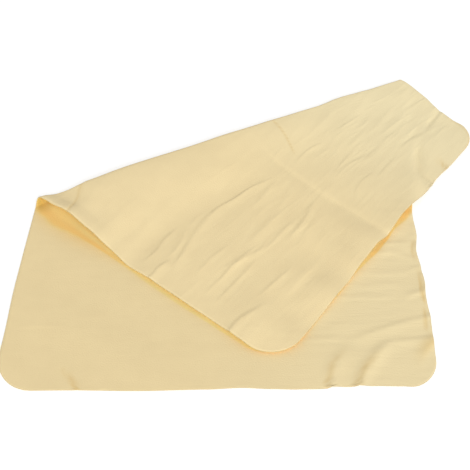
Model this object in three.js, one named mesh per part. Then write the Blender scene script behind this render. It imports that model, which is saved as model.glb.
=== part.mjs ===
// A drying cloth of synthetic chamois: one rectangular sheet with rounded corners,
// turned over along a slanting fold so that its back part lies on its front part.
//
// The sheet is described flat, as a point (u, v) with u to the right and v to the back,
// and every point is then carried to where it lies once the cloth is folded.
import * as THREE from 'three';

// The cut sheet, in millimetres
const CLOTH_WIDTH = 320;
const CLOTH_LENGTH = 430;
const CLOTH_THICKNESS = 1.2;
const CORNER_RADIUS = 28;

// The fold: where it crosses the side edges, and the radius of its roll at either end
const FOLD_ON_LEFT_EDGE = 176;
const FOLD_ON_RIGHT_EDGE = 332;
const ROLL_RADIUS_LEFT = 5.5;
const ROLL_RADIUS_RIGHT = 2;

// How far across the fold the flap takes to come down on the lower layer
const SETTLE_LENGTH = 72;

// How far the wrinkles draw in the front right corner and the flap's right corner
const FRONT_CORNER_DRAW = 8;
const FLAP_CORNER_DRAW = 14;

// Clearance between pieces that meet, and the lower layer's flat margin beside the flap
const SEAM_GAP = 0.3;
const FLAT_MARGIN = 12;

// Two folds that curve round the front right corner, measured from that corner
const OUTER_CORNER_FOLD = { alongRight: 66, alongFront: 79, height: 4.5, halfWidth: 11 };
const INNER_CORNER_FOLD = { alongRight: 44, alongFront: 60, height: 4, halfWidth: 10 };
const CORNER_FOLD_FULLNESS = 0.87;

// The packing crease up the middle of the cloth, which rises towards the flap's free edge
const MIDDLE_CREASE = { heightAtFold: 1.2, heightAtEdge: 6, halfWidth: 24 };

// Folds on the flap: start, bend and end, each given from the left edge and the free edge
const LONG_DRAG_FOLD = { fromLeft: [0, 75, 142], fromFreeEdge: [124, 142, 112], height: 4, halfWidth: 11 };
const MID_DRAG_FOLD = { fromLeft: [14, 60, 109], fromFreeEdge: [78, 79, 80], height: 2.5, halfWidth: 10 };
const EDGE_DRAG_FOLD = { fromLeft: [0, 20, 42], fromFreeEdge: [43, 44, 40], height: 3, halfWidth: 10 };
const RIGHT_DRAG_FOLD = { fromLeft: [200, 230, 262], fromFreeEdge: [118, 124, 130], height: 2, halfWidth: 10 };
const CORNER_CREASE = { fromLeft: [312, 286, 258], fromFreeEdge: [44, 42, 46], height: 3.5, halfWidth: 11 };

// How finely the sheet is divided
const COLUMNS = 28;
const LAYER_ROWS = 15;
const CORNER_ROWS = 5;
const ROLL_ROWS = 5;
const FOLD_SAMPLES = 24;

const CLOTH_COLOUR = 0xecd7a7;
const CLOTH_ROUGHNESS = 0.95;

// Values that follow from the sizes above
const HALF_THICKNESS = CLOTH_THICKNESS / 2;
const QUARTER_TURN = Math.PI / 2;
const FOLD_RISE = FOLD_ON_RIGHT_EDGE - FOLD_ON_LEFT_EDGE;
const FOLD_START = new THREE.Vector2(0, FOLD_ON_LEFT_EDGE);
const FOLD_ALONG = new THREE.Vector2(CLOTH_WIDTH, FOLD_RISE).normalize();
const FOLD_INWARD = new THREE.Vector2(FOLD_ALONG.y, -FOLD_ALONG.x);
const FLAP_REST_HEIGHT = CLOTH_THICKNESS + SEAM_GAP + HALF_THICKNESS;

// Which side of the sheet a surface point is on: the outer one faces out of the fold
const OUTER = 1;
const INNER = -1;

// A soft step from 1 at the start to 0 at the end
function fallOff(distance, length) {
  return 0.5 * (1 + Math.cos(Math.PI * THREE.MathUtils.clamp(distance / length, 0, 1)));
}

// The v of the fold line at a place across the cloth
function foldAt(u) {
  return FOLD_ON_LEFT_EDGE + FOLD_RISE * (u / CLOTH_WIDTH);
}

// The radius of the roll, to the middle of the sheet
function rollRadiusAt(u) {
  return THREE.MathUtils.lerp(ROLL_RADIUS_LEFT, ROLL_RADIUS_RIGHT, u / CLOTH_WIDTH);
}

// How far from the fold line, along an edge of the cloth, its roll ends
function rollReachAt(u) {
  return (rollRadiusAt(u) * QUARTER_TURN) / FOLD_ALONG.x;
}

// The height of a rounded ridge along a curve, fading out at the curve's inner ends
function ridge(curve, height, halfWidth) {
  const samples = curve.getPoints(FOLD_SAMPLES);
  return (u, v) => {
    const point = new THREE.Vector2(u, v);
    const nearest = Math.min(...samples.map((sample) => sample.distanceTo(point)));
    return height * fallOff(nearest, halfWidth);
  };
}

// A fold that curves round the front right corner
function cornerFold({ alongRight, alongFront, height, halfWidth }) {
  const curve = new THREE.QuadraticBezierCurve(
    new THREE.Vector2(CLOTH_WIDTH, alongRight),
    new THREE.Vector2(CLOTH_WIDTH - CORNER_FOLD_FULLNESS * alongFront, CORNER_FOLD_FULLNESS * alongRight),
    new THREE.Vector2(CLOTH_WIDTH - alongFront, 0),
  );
  return ridge(curve, height, halfWidth);
}

// A fold on the flap, through its start, bend and end
function flapFold({ fromLeft, fromFreeEdge, height, halfWidth }) {
  const points = fromLeft.map((u, index) => new THREE.Vector2(u, CLOTH_LENGTH - fromFreeEdge[index]));
  return ridge(new THREE.SplineCurve(points), height, halfWidth);
}

// The packing crease on the flap, higher towards the free edge
function middleCrease(u, v) {
  const middle = CLOTH_WIDTH / 2;
  const along = (v - foldAt(u)) / (CLOTH_LENGTH - foldAt(u));
  const height = THREE.MathUtils.lerp(MIDDLE_CREASE.heightAtFold, MIDDLE_CREASE.heightAtEdge, along * along);
  return height * fallOff(Math.abs(u - middle), MIDDLE_CREASE.halfWidth);
}

const LOWER_FOLDS = [OUTER_CORNER_FOLD, INNER_CORNER_FOLD].map(cornerFold);
const FLAP_FOLDS = [
  ...[LONG_DRAG_FOLD, MID_DRAG_FOLD, EDGE_DRAG_FOLD, RIGHT_DRAG_FOLD, CORNER_CREASE].map(flapFold),
  middleCrease,
];

// Where folds cross, the higher one shows
function highestFold(folds, u, v) {
  return Math.max(...folds.map((fold) => fold(u, v)));
}

// The cloth point that lies over, or under, another once the sheet is folded flat
function mirrorInFold(u, v) {
  const fromStart = new THREE.Vector2(u, v).sub(FOLD_START);
  const across = fromStart.dot(FOLD_INWARD);
  return fromStart.addScaledVector(FOLD_INWARD, -2 * across).add(FOLD_START);
}

// The lower layer's folds, pressed flat where the flap lies on them
function lowerRelief(u, v) {
  const above = mirrorInFold(u, v);
  const outside = Math.max(above.y - CLOTH_LENGTH, -above.x, above.x - CLOTH_WIDTH);
  return highestFold(LOWER_FOLDS, u, v) * (1 - fallOff(outside, FLAT_MARGIN));
}

// The flap's folds, which start where it leaves the roll
function flapRelief(u, v, fromRoll) {
  return highestFold(FLAP_FOLDS, u, v) * (1 - fallOff(fromRoll, FLAT_MARGIN));
}

// How far wrinkles draw a point in, as a shift in the plane of the flat cloth
function drawnIn(u, v) {
  const fromFold = v - foldAt(u);
  if (fromFold < 0) {
    const towardsFront = -fromFold / foldAt(u);
    return new THREE.Vector2(0, FRONT_CORNER_DRAW * (u / CLOTH_WIDTH) * towardsFront);
  }
  const towardsEdge = fromFold / (CLOTH_LENGTH - foldAt(u));
  return new THREE.Vector2(-FLAP_CORNER_DRAW * (u / CLOTH_WIDTH) * towardsEdge, 0);
}

// Carries a point of the flat cloth, on one of its two faces, to its place in the folded cloth
function folded(u, v, face) {
  const radius = rollRadiusAt(u);
  const isFlap = v > foldAt(u);
  const place = new THREE.Vector2(u, v).add(drawnIn(u, v)).sub(FOLD_START);
  const along = place.dot(FOLD_ALONG);
  const across = Math.abs(place.dot(FOLD_INWARD));
  const fromRoll = across - radius * QUARTER_TURN;
  const turn = QUARTER_TURN * Math.min(across / (radius * QUARTER_TURN), 1);
  const rise = isFlap ? 1 : -1;

  // The middle of the sheet: round the roll, then on along the layer
  const inward = fromRoll < 0 ? radius * (QUARTER_TURN - Math.cos(turn)) : across;
  let height = HALF_THICKNESS + radius + rise * radius * Math.sin(turn);
  if (fromRoll > 0 && isFlap) {
    height = THREE.MathUtils.lerp(FLAP_REST_HEIGHT, height, fallOff(fromRoll, SETTLE_LENGTH));
    height += flapRelief(u, v, fromRoll);
  } else if (fromRoll > 0) {
    height += lowerRelief(u, v);
  }

  // Half a thickness out along the normal of the roll or of the layer
  const out = face * HALF_THICKNESS;
  const plan = FOLD_START.clone()
    .addScaledVector(FOLD_ALONG, along)
    .addScaledVector(FOLD_INWARD, inward - out * Math.cos(turn));
  return new THREE.Vector3(plan.x, plan.y, height + rise * out * Math.sin(turn));
}

// A closed solid of the sheet between a first and a last row, each row a list of cloth points
function sheetSolid(rows) {
  const width = COLUMNS + 1;
  const faceSize = rows.length * width;
  const positions = [];
  const triangles = [];
  const index = (face, row, column) => (face === INNER ? 0 : faceSize) + row * width + column;
  const quad = (a, b, c, d) => triangles.push(a, b, c, a, c, d);

  for (const face of [INNER, OUTER]) {
    for (const row of rows) {
      row.forEach(({ x, y }) => positions.push(...folded(x, y, face).toArray()));
    }
  }
  const lastRow = rows.length - 1;
  for (let row = 0; row < lastRow; row += 1) {
    for (let column = 0; column < COLUMNS; column += 1) {
      const corners = [[row, column], [row, column + 1], [row + 1, column + 1], [row + 1, column]];
      quad(...corners.map(([r, c]) => index(INNER, r, c)));
      quad(...corners.reverse().map(([r, c]) => index(OUTER, r, c)));
    }
    quad(index(INNER, row, 0), index(INNER, row + 1, 0), index(OUTER, row + 1, 0), index(OUTER, row, 0));
    quad(
      index(INNER, row + 1, COLUMNS),
      index(INNER, row, COLUMNS),
      index(OUTER, row, COLUMNS),
      index(OUTER, row + 1, COLUMNS),
    );
  }
  for (let column = 0; column < COLUMNS; column += 1) {
    quad(
      index(INNER, 0, column + 1),
      index(INNER, 0, column),
      index(OUTER, 0, column),
      index(OUTER, 0, column + 1),
    );
    quad(
      index(INNER, lastRow, column),
      index(INNER, lastRow, column + 1),
      index(OUTER, lastRow, column + 1),
      index(OUTER, lastRow, column),
    );
  }
  const geometry = new THREE.BufferGeometry();
  geometry.setAttribute('position', new THREE.Float32BufferAttribute(positions, 3));
  geometry.setIndex(triangles);
  geometry.computeVertexNormals();
  return geometry;
}

// A row of cloth points between the side edges, drawn in at its ends by a rounded corner
function row(inset, vAt) {
  const points = [];
  for (let column = 0; column <= COLUMNS; column += 1) {
    const u = THREE.MathUtils.lerp(inset, CLOTH_WIDTH - inset, column / COLUMNS);
    points.push(new THREE.Vector2(u, vAt(u)));
  }
  return points;
}

// The rows of a rounded end, from the cut edge to where the side edges run straight
function roundedEndRows(vFromEdge) {
  const rows = [];
  for (let step = 0; step < CORNER_ROWS; step += 1) {
    const angle = QUARTER_TURN * (step / CORNER_ROWS);
    const inset = CORNER_RADIUS * (1 - Math.sin(angle));
    rows.push(row(inset, () => vFromEdge(CORNER_RADIUS * (1 - Math.cos(angle)))));
  }
  return rows;
}

// The rows between two lines across the cloth, each given as v for a place across
function rowsBetween(vStart, vEnd, count) {
  const rows = [];
  for (let step = 0; step <= count; step += 1) {
    rows.push(row(0, (u) => THREE.MathUtils.lerp(vStart(u), vEnd(u), step / count)));
  }
  return rows;
}

function lowerLayerRows() {
  const layerEnd = (u) => foldAt(u) - rollReachAt(u) - SEAM_GAP / FOLD_ALONG.x;
  return [
    ...roundedEndRows((fromEdge) => fromEdge),
    ...rowsBetween(() => CORNER_RADIUS, layerEnd, LAYER_ROWS),
  ];
}

function lowerFoldEdgeRows() {
  const halfGap = SEAM_GAP / 2 / FOLD_ALONG.x;
  return rowsBetween((u) => foldAt(u) - rollReachAt(u), (u) => foldAt(u) - halfGap, ROLL_ROWS);
}

function upperFoldEdgeRows() {
  const halfGap = SEAM_GAP / 2 / FOLD_ALONG.x;
  return rowsBetween((u) => foldAt(u) + halfGap, (u) => foldAt(u) + rollReachAt(u), ROLL_ROWS);
}

function turnedOverFlapRows() {
  const flapStart = (u) => foldAt(u) + rollReachAt(u) + SEAM_GAP / FOLD_ALONG.x;
  return [
    ...rowsBetween(flapStart, () => CLOTH_LENGTH - CORNER_RADIUS, LAYER_ROWS),
    ...roundedEndRows((fromEdge) => CLOTH_LENGTH - fromEdge).reverse(),
  ];
}

function clothPiece(name, rows) {
  const material = new THREE.MeshStandardMaterial({
    color: CLOTH_COLOUR,
    roughness: CLOTH_ROUGHNESS,
    metalness: 0,
  });
  const mesh = new THREE.Mesh(sheetSolid(rows), material);
  mesh.name = name;
  return mesh;
}

const dryingCloth = new THREE.Group();
dryingCloth.name = 'drying_cloth';
dryingCloth.add(
  clothPiece('lower_layer', lowerLayerRows()),
  clothPiece('lower_fold_edge', lowerFoldEdgeRows()),
  clothPiece('upper_fold_edge', upperFoldEdgeRows()),
  clothPiece('turned_over_flap', turnedOverFlapRows()),
);

// The origin is under the middle of the folded cloth, on the surface that it lies on
const extent = new THREE.Box3().setFromObject(dryingCloth);
const middle = extent.getCenter(new THREE.Vector3());
dryingCloth.position.set(-middle.x, -middle.y, -extent.min.z);

export default dryingCloth;
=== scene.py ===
"""A drying cloth of synthetic chamois, folded over on itself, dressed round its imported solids.

The cloth is one closed sheet. Each of its points is known by its place on the cut sheet: u to the
right and v to the back, in millimetres, and a share of the half thickness. The fold carries those
points to where the cloth lies, and the creases raise or sink it there.
"""

from __future__ import annotations

import logging
import math
from dataclasses import dataclass, field
from enum import Enum

import bpy
import numpy as np
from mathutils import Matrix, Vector

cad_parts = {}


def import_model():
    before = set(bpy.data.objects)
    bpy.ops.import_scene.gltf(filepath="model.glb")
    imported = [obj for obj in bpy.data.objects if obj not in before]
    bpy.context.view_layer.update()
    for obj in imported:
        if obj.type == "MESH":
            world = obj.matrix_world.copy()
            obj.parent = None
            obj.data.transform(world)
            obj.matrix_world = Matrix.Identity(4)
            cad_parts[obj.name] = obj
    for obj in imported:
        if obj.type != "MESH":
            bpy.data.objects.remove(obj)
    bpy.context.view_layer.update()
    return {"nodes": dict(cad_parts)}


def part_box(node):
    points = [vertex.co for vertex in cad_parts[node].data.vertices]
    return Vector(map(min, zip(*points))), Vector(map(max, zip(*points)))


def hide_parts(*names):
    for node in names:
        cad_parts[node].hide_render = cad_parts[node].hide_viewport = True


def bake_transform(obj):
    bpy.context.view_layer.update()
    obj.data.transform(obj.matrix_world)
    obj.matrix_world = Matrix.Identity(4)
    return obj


LOG = logging.getLogger("drying_cloth")

MM = 0.001
QUARTER_TURN = math.pi / 2
WHITE = (1.0, 1.0, 1.0, 1.0)
PHOTO_SIDE = 470
SENSOR_WIDTH = 36.0
# How far the solids draw in the front right corner, in millimetres
SOLIDS_FRONT_DRAW = 8.0

Point = tuple[float, float]
Points = tuple[Point, ...]
Colour = tuple[float, float, float]


def soft_step(value: np.ndarray, start: np.ndarray | float, end: np.ndarray | float) -> np.ndarray:
    """Rise smoothly from 0 at start to 1 at end.

    Args:
        value: The values to weigh.
        start: Where the rise begins.
        end: Where it ends.

    Returns:
        Weights from 0 to 1.
    """
    share = np.clip((value - start) / (end - start), 0.0, 1.0)
    return share * share * (3.0 - 2.0 * share)


def mix(start: np.ndarray | float, end: np.ndarray | float, share: np.ndarray | float) -> np.ndarray:
    """Blend from start to end by a share.

    Args:
        start: The value at share 0.
        end: The value at share 1.
        share: The share, usually from 0 to 1.

    Returns:
        The blended values.
    """
    return start + (np.asarray(end) - start) * share


def eased(knots: Points, at: np.ndarray) -> np.ndarray:
    """Run smoothly through knots, level at each of them.

    Args:
        knots: Places and their values, in order of place.
        at: Places to read.

    Returns:
        The values at those places.
    """
    places, values = np.array(knots, float).T
    after = np.clip(np.searchsorted(places, at), 1, len(places) - 1)
    share = soft_step(at, places[after - 1], places[after])
    return mix(values[after - 1], values[after], share)


class CreaseForm(Enum):
    """Whether a crease stands up from the cloth or sinks into it."""

    RIDGE = 1.0
    VALLEY = -1.0


@dataclass(frozen=True)
class Crease:
    """One crease, along a path on the cut sheet.

    Attributes:
        name: What the crease is.
        path: Points that the crest runs through, in millimetres of the cut sheet.
        height: How far the crest stands out, in millimetres.
        left: Width of the flank to the left of the path, in millimetres.
        right: Width of the flank to the right of the path, in millimetres.
        fade_in: Share of the path over which the crease rises from nothing.
        fade_out: Share of the path over which it dies away.
        pinch: 0 for a rounded crest, 1 for a sharp one.
        form: Ridge or valley.
        groove_shade_share: Share of the painted groove shade, a darker and warmer colour, that shows in
            the crease.
    """

    name: str
    path: Points
    height: float
    left: float
    right: float
    fade_in: float = 0.3
    fade_out: float = 0.3
    pinch: float = 0.5
    form: CreaseForm = CreaseForm.RIDGE
    groove_shade_share: float = 0.0

    STEPS_PER_SPAN = 10

    def curve(self) -> np.ndarray:
        """Draw a smooth curve through the path.

        Returns:
            Points along the curve, one row each.
        """
        knots = np.array(self.path, float)
        first = 2.0 * knots[0] - knots[1]
        last = 2.0 * knots[-1] - knots[-2]
        knots = np.vstack([first, knots, last])
        share = np.linspace(0.0, 1.0, self.STEPS_PER_SPAN, endpoint=False)[:, None]
        spans = []
        for before, start, end, after in zip(knots, knots[1:], knots[2:], knots[3:]):
            bend = 2.0 * before - 5.0 * start + 4.0 * end - after
            twist = -before + 3.0 * start - 3.0 * end + after
            spans.append(start + 0.5 * share * (end - before + share * (bend + share * twist)))
        return np.vstack([*spans, knots[-2:-1]])

    def relief(self, u: np.ndarray, v: np.ndarray) -> np.ndarray:
        """Return how far the crease lifts the cloth at each point, negative in a valley."""
        return self.form.value * self.height * self.shape(u, v)

    def tone(self, u: np.ndarray, v: np.ndarray) -> np.ndarray:
        """Return the share of the painted groove shade at each point."""
        return self.groove_shade_share * self.shape(u, v)

    def shape(self, u: np.ndarray, v: np.ndarray) -> np.ndarray:
        """Return the crease's shape at each point, as a share of its height.

        Args:
            u: Places across the cut sheet, in millimetres.
            v: Places along the cut sheet, in millimetres.

        Returns:
            Shares from 0 to 1.
        """
        curve = self.curve()
        reach = max(self.left, self.right)
        low, high = curve.min(0) - reach, curve.max(0) + reach
        near = (u > low[0]) & (u < high[0]) & (v > low[1]) & (v < high[1])
        shares = np.zeros_like(u)
        shares[near] = self._profile(curve, u[near], v[near])
        return shares

    def _profile(self, curve: np.ndarray, u: np.ndarray, v: np.ndarray) -> np.ndarray:
        """Return the crease's shape at points near its curve.

        Args:
            curve: Points along the crest.
            u: Places across the cut sheet, in millimetres.
            v: Places along the cut sheet, in millimetres.

        Returns:
            Shares from 0 to 1.
        """
        nearest = np.full(u.shape, np.inf)
        side = np.zeros_like(u)
        share = np.zeros_like(u)
        spans = len(curve) - 1
        for index in range(spans):
            start, step = curve[index], curve[index + 1] - curve[index]
            along = np.clip(((u - start[0]) * step[0] + (v - start[1]) * step[1]) / (step @ step), 0, 1)
            du = u - start[0] - along * step[0]
            dv = v - start[1] - along * step[1]
            distance = np.hypot(du, dv)
            closer = distance < nearest
            nearest[closer] = distance[closer]
            side[closer] = (step[0] * dv - step[1] * du)[closer]
            share[closer] = ((index + along) / spans)[closer]
        away = np.clip(nearest / np.where(side > 0, self.left, self.right), 0.0, 1.0)
        rounded = (1.0 - away * away) ** 2
        sharp = (1.0 - away) ** 2
        height = mix(rounded, sharp, self.pinch)
        if self.fade_in > 0:
            height *= soft_step(share, 0.0, self.fade_in)
        if self.fade_out > 0:
            height *= soft_step(1.0 - share, 0.0, self.fade_out)
        return height


def thin_line(name: str, path: Points, height: float, gentle: float = 6.0, steep: float = 1.7) -> Crease:
    """Return a thin ridge that the drawn cloth makes, steep on the right of its path.

    Args:
        name: What the line is.
        path: Points that its crest runs through, in millimetres of the cut sheet.
        height: How far the crest stands out, in millimetres.
        gentle: Width of the gentle flank, in millimetres.
        steep: Width of the steep flank, in millimetres.

    Returns:
        The line as a crease.
    """
    return Crease(name, path, height=height, left=gentle, right=steep)


@dataclass(frozen=True)
class FineLines:
    """Short crisp lines that wringing left in one part of the sheet, drawn at random.

    Attributes:
        seed: Seed of the random draws.
        count: How many lines there are.
        middle: Where they lie closest together, in millimetres of the cut sheet.
        spread: How far they scatter across and along the sheet, in millimetres.
        height: Least and greatest height, in millimetres.
        length: Least and greatest length, in millimetres.
        slant: Greatest angle to the sheet's front edge, in degrees.
    """

    seed: int
    count: int
    middle: Point
    spread: Point
    height: Point = (0.08, 0.22)
    length: Point = (24.0, 64.0)
    slant: float = 11.0

    BOW = 0.07
    GENTLE_FLANK = (2.0, 4.0)
    STEEP_FLANK = (1.1, 1.5)

    def creases(self) -> tuple[Crease, ...]:
        """Return the lines as creases.

        Returns:
            One crease for each line, steep on the right of its path.
        """
        draws = np.random.default_rng(self.seed)
        made = []
        for number in range(self.count):
            middle = np.array(self.middle) + draws.normal(size=2) * self.spread
            length = draws.uniform(*self.length)
            angle = math.radians(draws.uniform(-self.slant, self.slant))
            half = np.array([math.cos(angle), math.sin(angle)]) * length / 2.0
            bow = np.array([-half[1], half[0]]) * draws.uniform(-self.BOW, self.BOW) * 2.0
            path = tuple(tuple(point) for point in (middle - half, middle + bow, middle + half))
            height = draws.uniform(*self.height)
            gentle, steep = draws.uniform(*self.GENTLE_FLANK), draws.uniform(*self.STEEP_FLANK)
            made.append(thin_line(f"fine line {number}", path, height, gentle, steep))
        return tuple(made)


@dataclass(frozen=True)
class Crumple:
    """Small seeded waves that leave no part of the cloth quite flat.

    Attributes:
        seed: Seed of the random draws.
        height: Typical height in millimetres.
        across: Shortest and longest wave across the cut sheet, in millimetres.
        along: Shortest and longest wave along the cut sheet, in millimetres.
        left_share: Share of the height at the left edge, of that at the right edge.
        waves: How many waves are added up.
    """

    seed: int
    height: float
    across: Point
    along: Point
    left_share: float = 1.0
    waves: int = 28

    def relief(self, u: np.ndarray, v: np.ndarray) -> np.ndarray:
        """Return the height of the waves at each point.

        Args:
            u: Places across the cut sheet, in millimetres.
            v: Places along the cut sheet, in millimetres.

        Returns:
            Heights in millimetres, about zero on average.
        """
        draws = np.random.default_rng(self.seed)
        total = np.zeros_like(u)
        for _ in range(self.waves):
            pitch_u = draws.uniform(*self.across) * draws.choice((-1.0, 1.0))
            pitch_v = draws.uniform(*self.along)
            phase = draws.uniform(0.0, 2.0 * math.pi)
            total += np.cos(2.0 * math.pi * (u / pitch_u + v / pitch_v) + phase)
        total /= math.sqrt(self.waves / 2.0)
        return self.height * mix(self.left_share, 1.0, u / CutSheet.width) * total


@dataclass(frozen=True)
class CutSheet:
    """The sheet as it is cut, in millimetres.

    Attributes:
        width: From the left edge to the right one.
        length: From the front edge to the far one.
        thickness: From face to face.
        corner_radius: Radius of the left corners.
        right_radius: Radius of the right corners, which creases draw tighter.
    """

    width: float = 320.0
    length: float = 430.0
    thickness: float = 1.2
    corner_radius: float = 28.0
    right_radius: float = 23.0

    @property
    def area(self) -> float:
        """Return the flat area in square metres, less the rounded corners."""
        corners = (2.0 - math.pi / 2.0) * (self.corner_radius**2 + self.right_radius**2)
        return (self.width * self.length - corners) * MM * MM

    @staticmethod
    def inset(radius: float, from_edge: float) -> float:
        """Return how far in a rounded corner starts, at a distance from the front or far edge.

        Args:
            radius: Radius of the corner.
            from_edge: Distance from the edge.

        Returns:
            Distance from the side edge.
        """
        short = max(radius - from_edge, 0.0)
        return radius - math.sqrt(radius**2 - short**2)


@dataclass(frozen=True)
class CornerPulls:
    """How far each corner lies from where a square fold would put it, in millimetres.

    The wrinkles take up cloth, so the front right corner and the flap's right corner lie further in.

    Attributes:
        front_left: Shift of the front left corner, to the right and to the back.
        front_right: Shift of the front right corner.
        fold_left: Shift of the fold's left end.
        fold_right: Shift of the fold's right end.
        flap_left: Shift of the flap's left corner.
        flap_right: Shift of the flap's right corner.
    """

    front_left: Point = (-1.8, -2.7)
    front_right: Point = (-0.3, 4.2)
    fold_left: Point = (2.5, 0.0)
    fold_right: Point = (4.5, 1.0)
    flap_left: Point = (1.5, -0.5)
    flap_right: Point = (-8.0, -10.5)

    def shift(self, across: np.ndarray, from_fold: np.ndarray, is_flap: np.ndarray) -> np.ndarray:
        """Return the shift of points in the plane of the table.

        Args:
            across: Share of the way from the left edge to the right one.
            from_fold: Share of the way from the fold to the cut edge.
            is_flap: Which points are on the flap.

        Returns:
            Shifts to the right and to the back, one row for each point.
        """
        across = across[:, None]
        fold = mix(np.array(self.fold_left), np.array(self.fold_right), across)
        front = mix(np.array(self.front_left), np.array(self.front_right), across)
        flap = mix(np.array(self.flap_left), np.array(self.flap_right), across)
        edge = np.where(is_flap[:, None], flap, front)
        return mix(fold, edge, from_fold[:, None])


@dataclass(frozen=True)
class EdgeWave:
    """Small waves along an edge, which die away inwards.

    Attributes:
        knots: Places along the edge, and the waves' size there, in millimetres.
        band: How far in from the edge they reach, in millimetres.
    """

    knots: Points
    band: float

    def near(self, along: np.ndarray, from_edge: np.ndarray) -> np.ndarray:
        """Return the waves' size at places along the edge and distances from it."""
        return eased(self.knots, along) * (1.0 - soft_step(from_edge, 0.0, self.band))


@dataclass(frozen=True)
class SlantingFold:
    """The fold: where it crosses the side edges, how tightly it rolls and how the flap settles.

    Sizes are in millimetres, and the roll's radii are to the middle of the sheet.

    Attributes:
        sheet: The cut sheet.
        pulls: How far the sheet's corners are pulled.
        on_left_edge: Where along the left edge the fold starts.
        on_right_edge: Where along the right edge it ends.
        roll_radii: Places across the sheet, and the roll's radius there.
        fold_bow: How far the fold bows back.
        right_edge_waves: How far the lower layer's right edge is drawn in.
        left_edge_bow: How far its left edge bows out.
        front_edge_waves: How far its front edge is drawn in.
        left_lift: How far the flap's left edge stands up.
        free_lift: How far its free edge stands up.
        left_draw: How far the flap's left edge is drawn in.
        right_draw: How far its right edge is drawn in.
        free_draw: How far its free edge is drawn in.
        settle: Places across the sheet, and how far past the roll the flap has come down.
        layer_gap: Least gap between the two layers.
        flap_loft: How far above that gap the flap lies.
        drop_over_edge: How far past the lower layer's right edge the flap has come down to the table.
    """

    sheet: CutSheet
    pulls: CornerPulls = CornerPulls()
    on_left_edge: float = 176.0
    on_right_edge: float = 332.0
    roll_radii: Points = (
        (0, 4.6), (15, 1.8), (42, 4.0), (85, 4.3), (150, 3.6), (205, 3.0), (258, 2.2), (285, 2.2),
        (320, 1.9),
    )
    fold_bow: EdgeWave = EdgeWave((
        (0, 0.0), (21, -1.5), (40, 0.7), (85, 2.9), (112, 2.3), (150, 2.0), (190, 1.8), (212, 0.9),
        (238, 0.5), (262, 1.8), (277, 0.6), (290, -0.2), (320, -0.5),
    ), band=60.0)
    right_edge_waves: EdgeWave = EdgeWave((
        (0, 0.4), (60, 0.6), (83, 2.0), (91, 1.3), (108, 2.6), (124, 4.7), (142, 2.6), (163, 4.0),
        (178, 2.6), (260, 0.0),
    ), band=34.0)
    left_edge_bow: EdgeWave = EdgeWave(((0, 0.0), (40, 0.5), (90, 1.3), (176, 0.0)), band=34.0)
    front_edge_waves: EdgeWave = EdgeWave((
        (0, 0.0), (60, 0.0), (112, -0.8), (150, 0.0), (178, 1.1), (200, 0.0), (215, -0.4),
        (234, -0.2), (250, 1.2), (276, 2.0), (294, 1.6), (306, 0.2), (320, 0.0),
    ), band=40.0)
    left_lift: EdgeWave = EdgeWave((
        (176, 0.8), (192, 1.4), (216, 3.2), (244, 3.2), (266, 1.0), (284, -0.8), (304, 0.4),
        (334, 0.8), (364, -0.2), (396, 1.8), (414, 0.4), (430, 0.0),
    ), band=100.0)
    free_lift: EdgeWave = EdgeWave((
        (0, 0.0), (26, 1.2), (50, -0.8), (80, 1.0), (100, -0.6), (124, 2.2), (144, 3.0), (160, 1.4),
        (176, 2.4), (192, 3.0), (220, 2.0), (250, 0.8), (320, 0.2),
    ), band=75.0)
    left_draw: EdgeWave = EdgeWave((
        (176, 0.0), (192, 1.2), (212, 3.5), (236, 2.4), (258, 0.8), (284, -1.4), (310, -0.6),
        (340, 0.0), (372, 0.8), (398, 0.6), (420, 0.0),
    ), band=40.0)
    right_draw: EdgeWave = EdgeWave((
        (332, 0.0), (346, -1.2), (362, 0.0), (386, 3.2), (402, 3.6), (416, 1.2), (430, 0.0),
    ), band=36.0)
    free_draw: EdgeWave = EdgeWave((
        (0, 0.0), (28, -1.6), (60, -0.8), (96, 0.0), (124, 1.4), (146, 2.1), (160, 0.7), (188, 2.5),
        (225, 0.6), (246, 1.7), (274, 0.3),
    ), band=40.0)
    settle: Points = ((0, 85), (60, 70), (115, 56), (200, 46), (320, 40))
    layer_gap: float = 0.15
    flap_loft: float = 1.2
    drop_over_edge: float = 14.0

    @property
    def along(self) -> np.ndarray:
        """Return the direction of the fold on the cut sheet."""
        run = np.array([self.sheet.width, self.on_right_edge - self.on_left_edge])
        return run / np.linalg.norm(run)

    @property
    def inward(self) -> np.ndarray:
        """Return the direction from the fold to the front part of the cloth."""
        return np.array([self.along[1], -self.along[0]])

    def line(self, u: np.ndarray) -> np.ndarray:
        """Return the v of the fold at places across the sheet."""
        return mix(self.on_left_edge, self.on_right_edge, u / self.sheet.width)

    def roll(self, u: np.ndarray) -> np.ndarray:
        """Return the radius of the roll at places across the sheet."""
        return eased(self.roll_radii, u)

    def roll_reach(self, u: np.ndarray) -> np.ndarray:
        """Return how far along v the roll reaches from the fold, to either side."""
        return self.roll(u) * QUARTER_TURN / self.along[0]

    def lower_pull(self, u: np.ndarray, v: np.ndarray) -> np.ndarray:
        """Return how far the lower layer's edges are drawn, in the plane of the table.

        Args:
            u: Places across the cut sheet.
            v: Places along the cut sheet.

        Returns:
            Shifts to the right and to the back, one row for each point.
        """
        to_left = self.right_edge_waves.near(v, self.sheet.width - u) + self.left_edge_bow.near(v, u)
        return np.stack([-to_left, self.front_edge_waves.near(u, v)], 1)

    def edge_lift(self, u: np.ndarray, v: np.ndarray) -> np.ndarray:
        """Return how far the flap's left and free edges stand up from the lower layer."""
        return self.left_lift.near(v, u) + self.free_lift.near(u, self.sheet.length - v)

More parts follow.
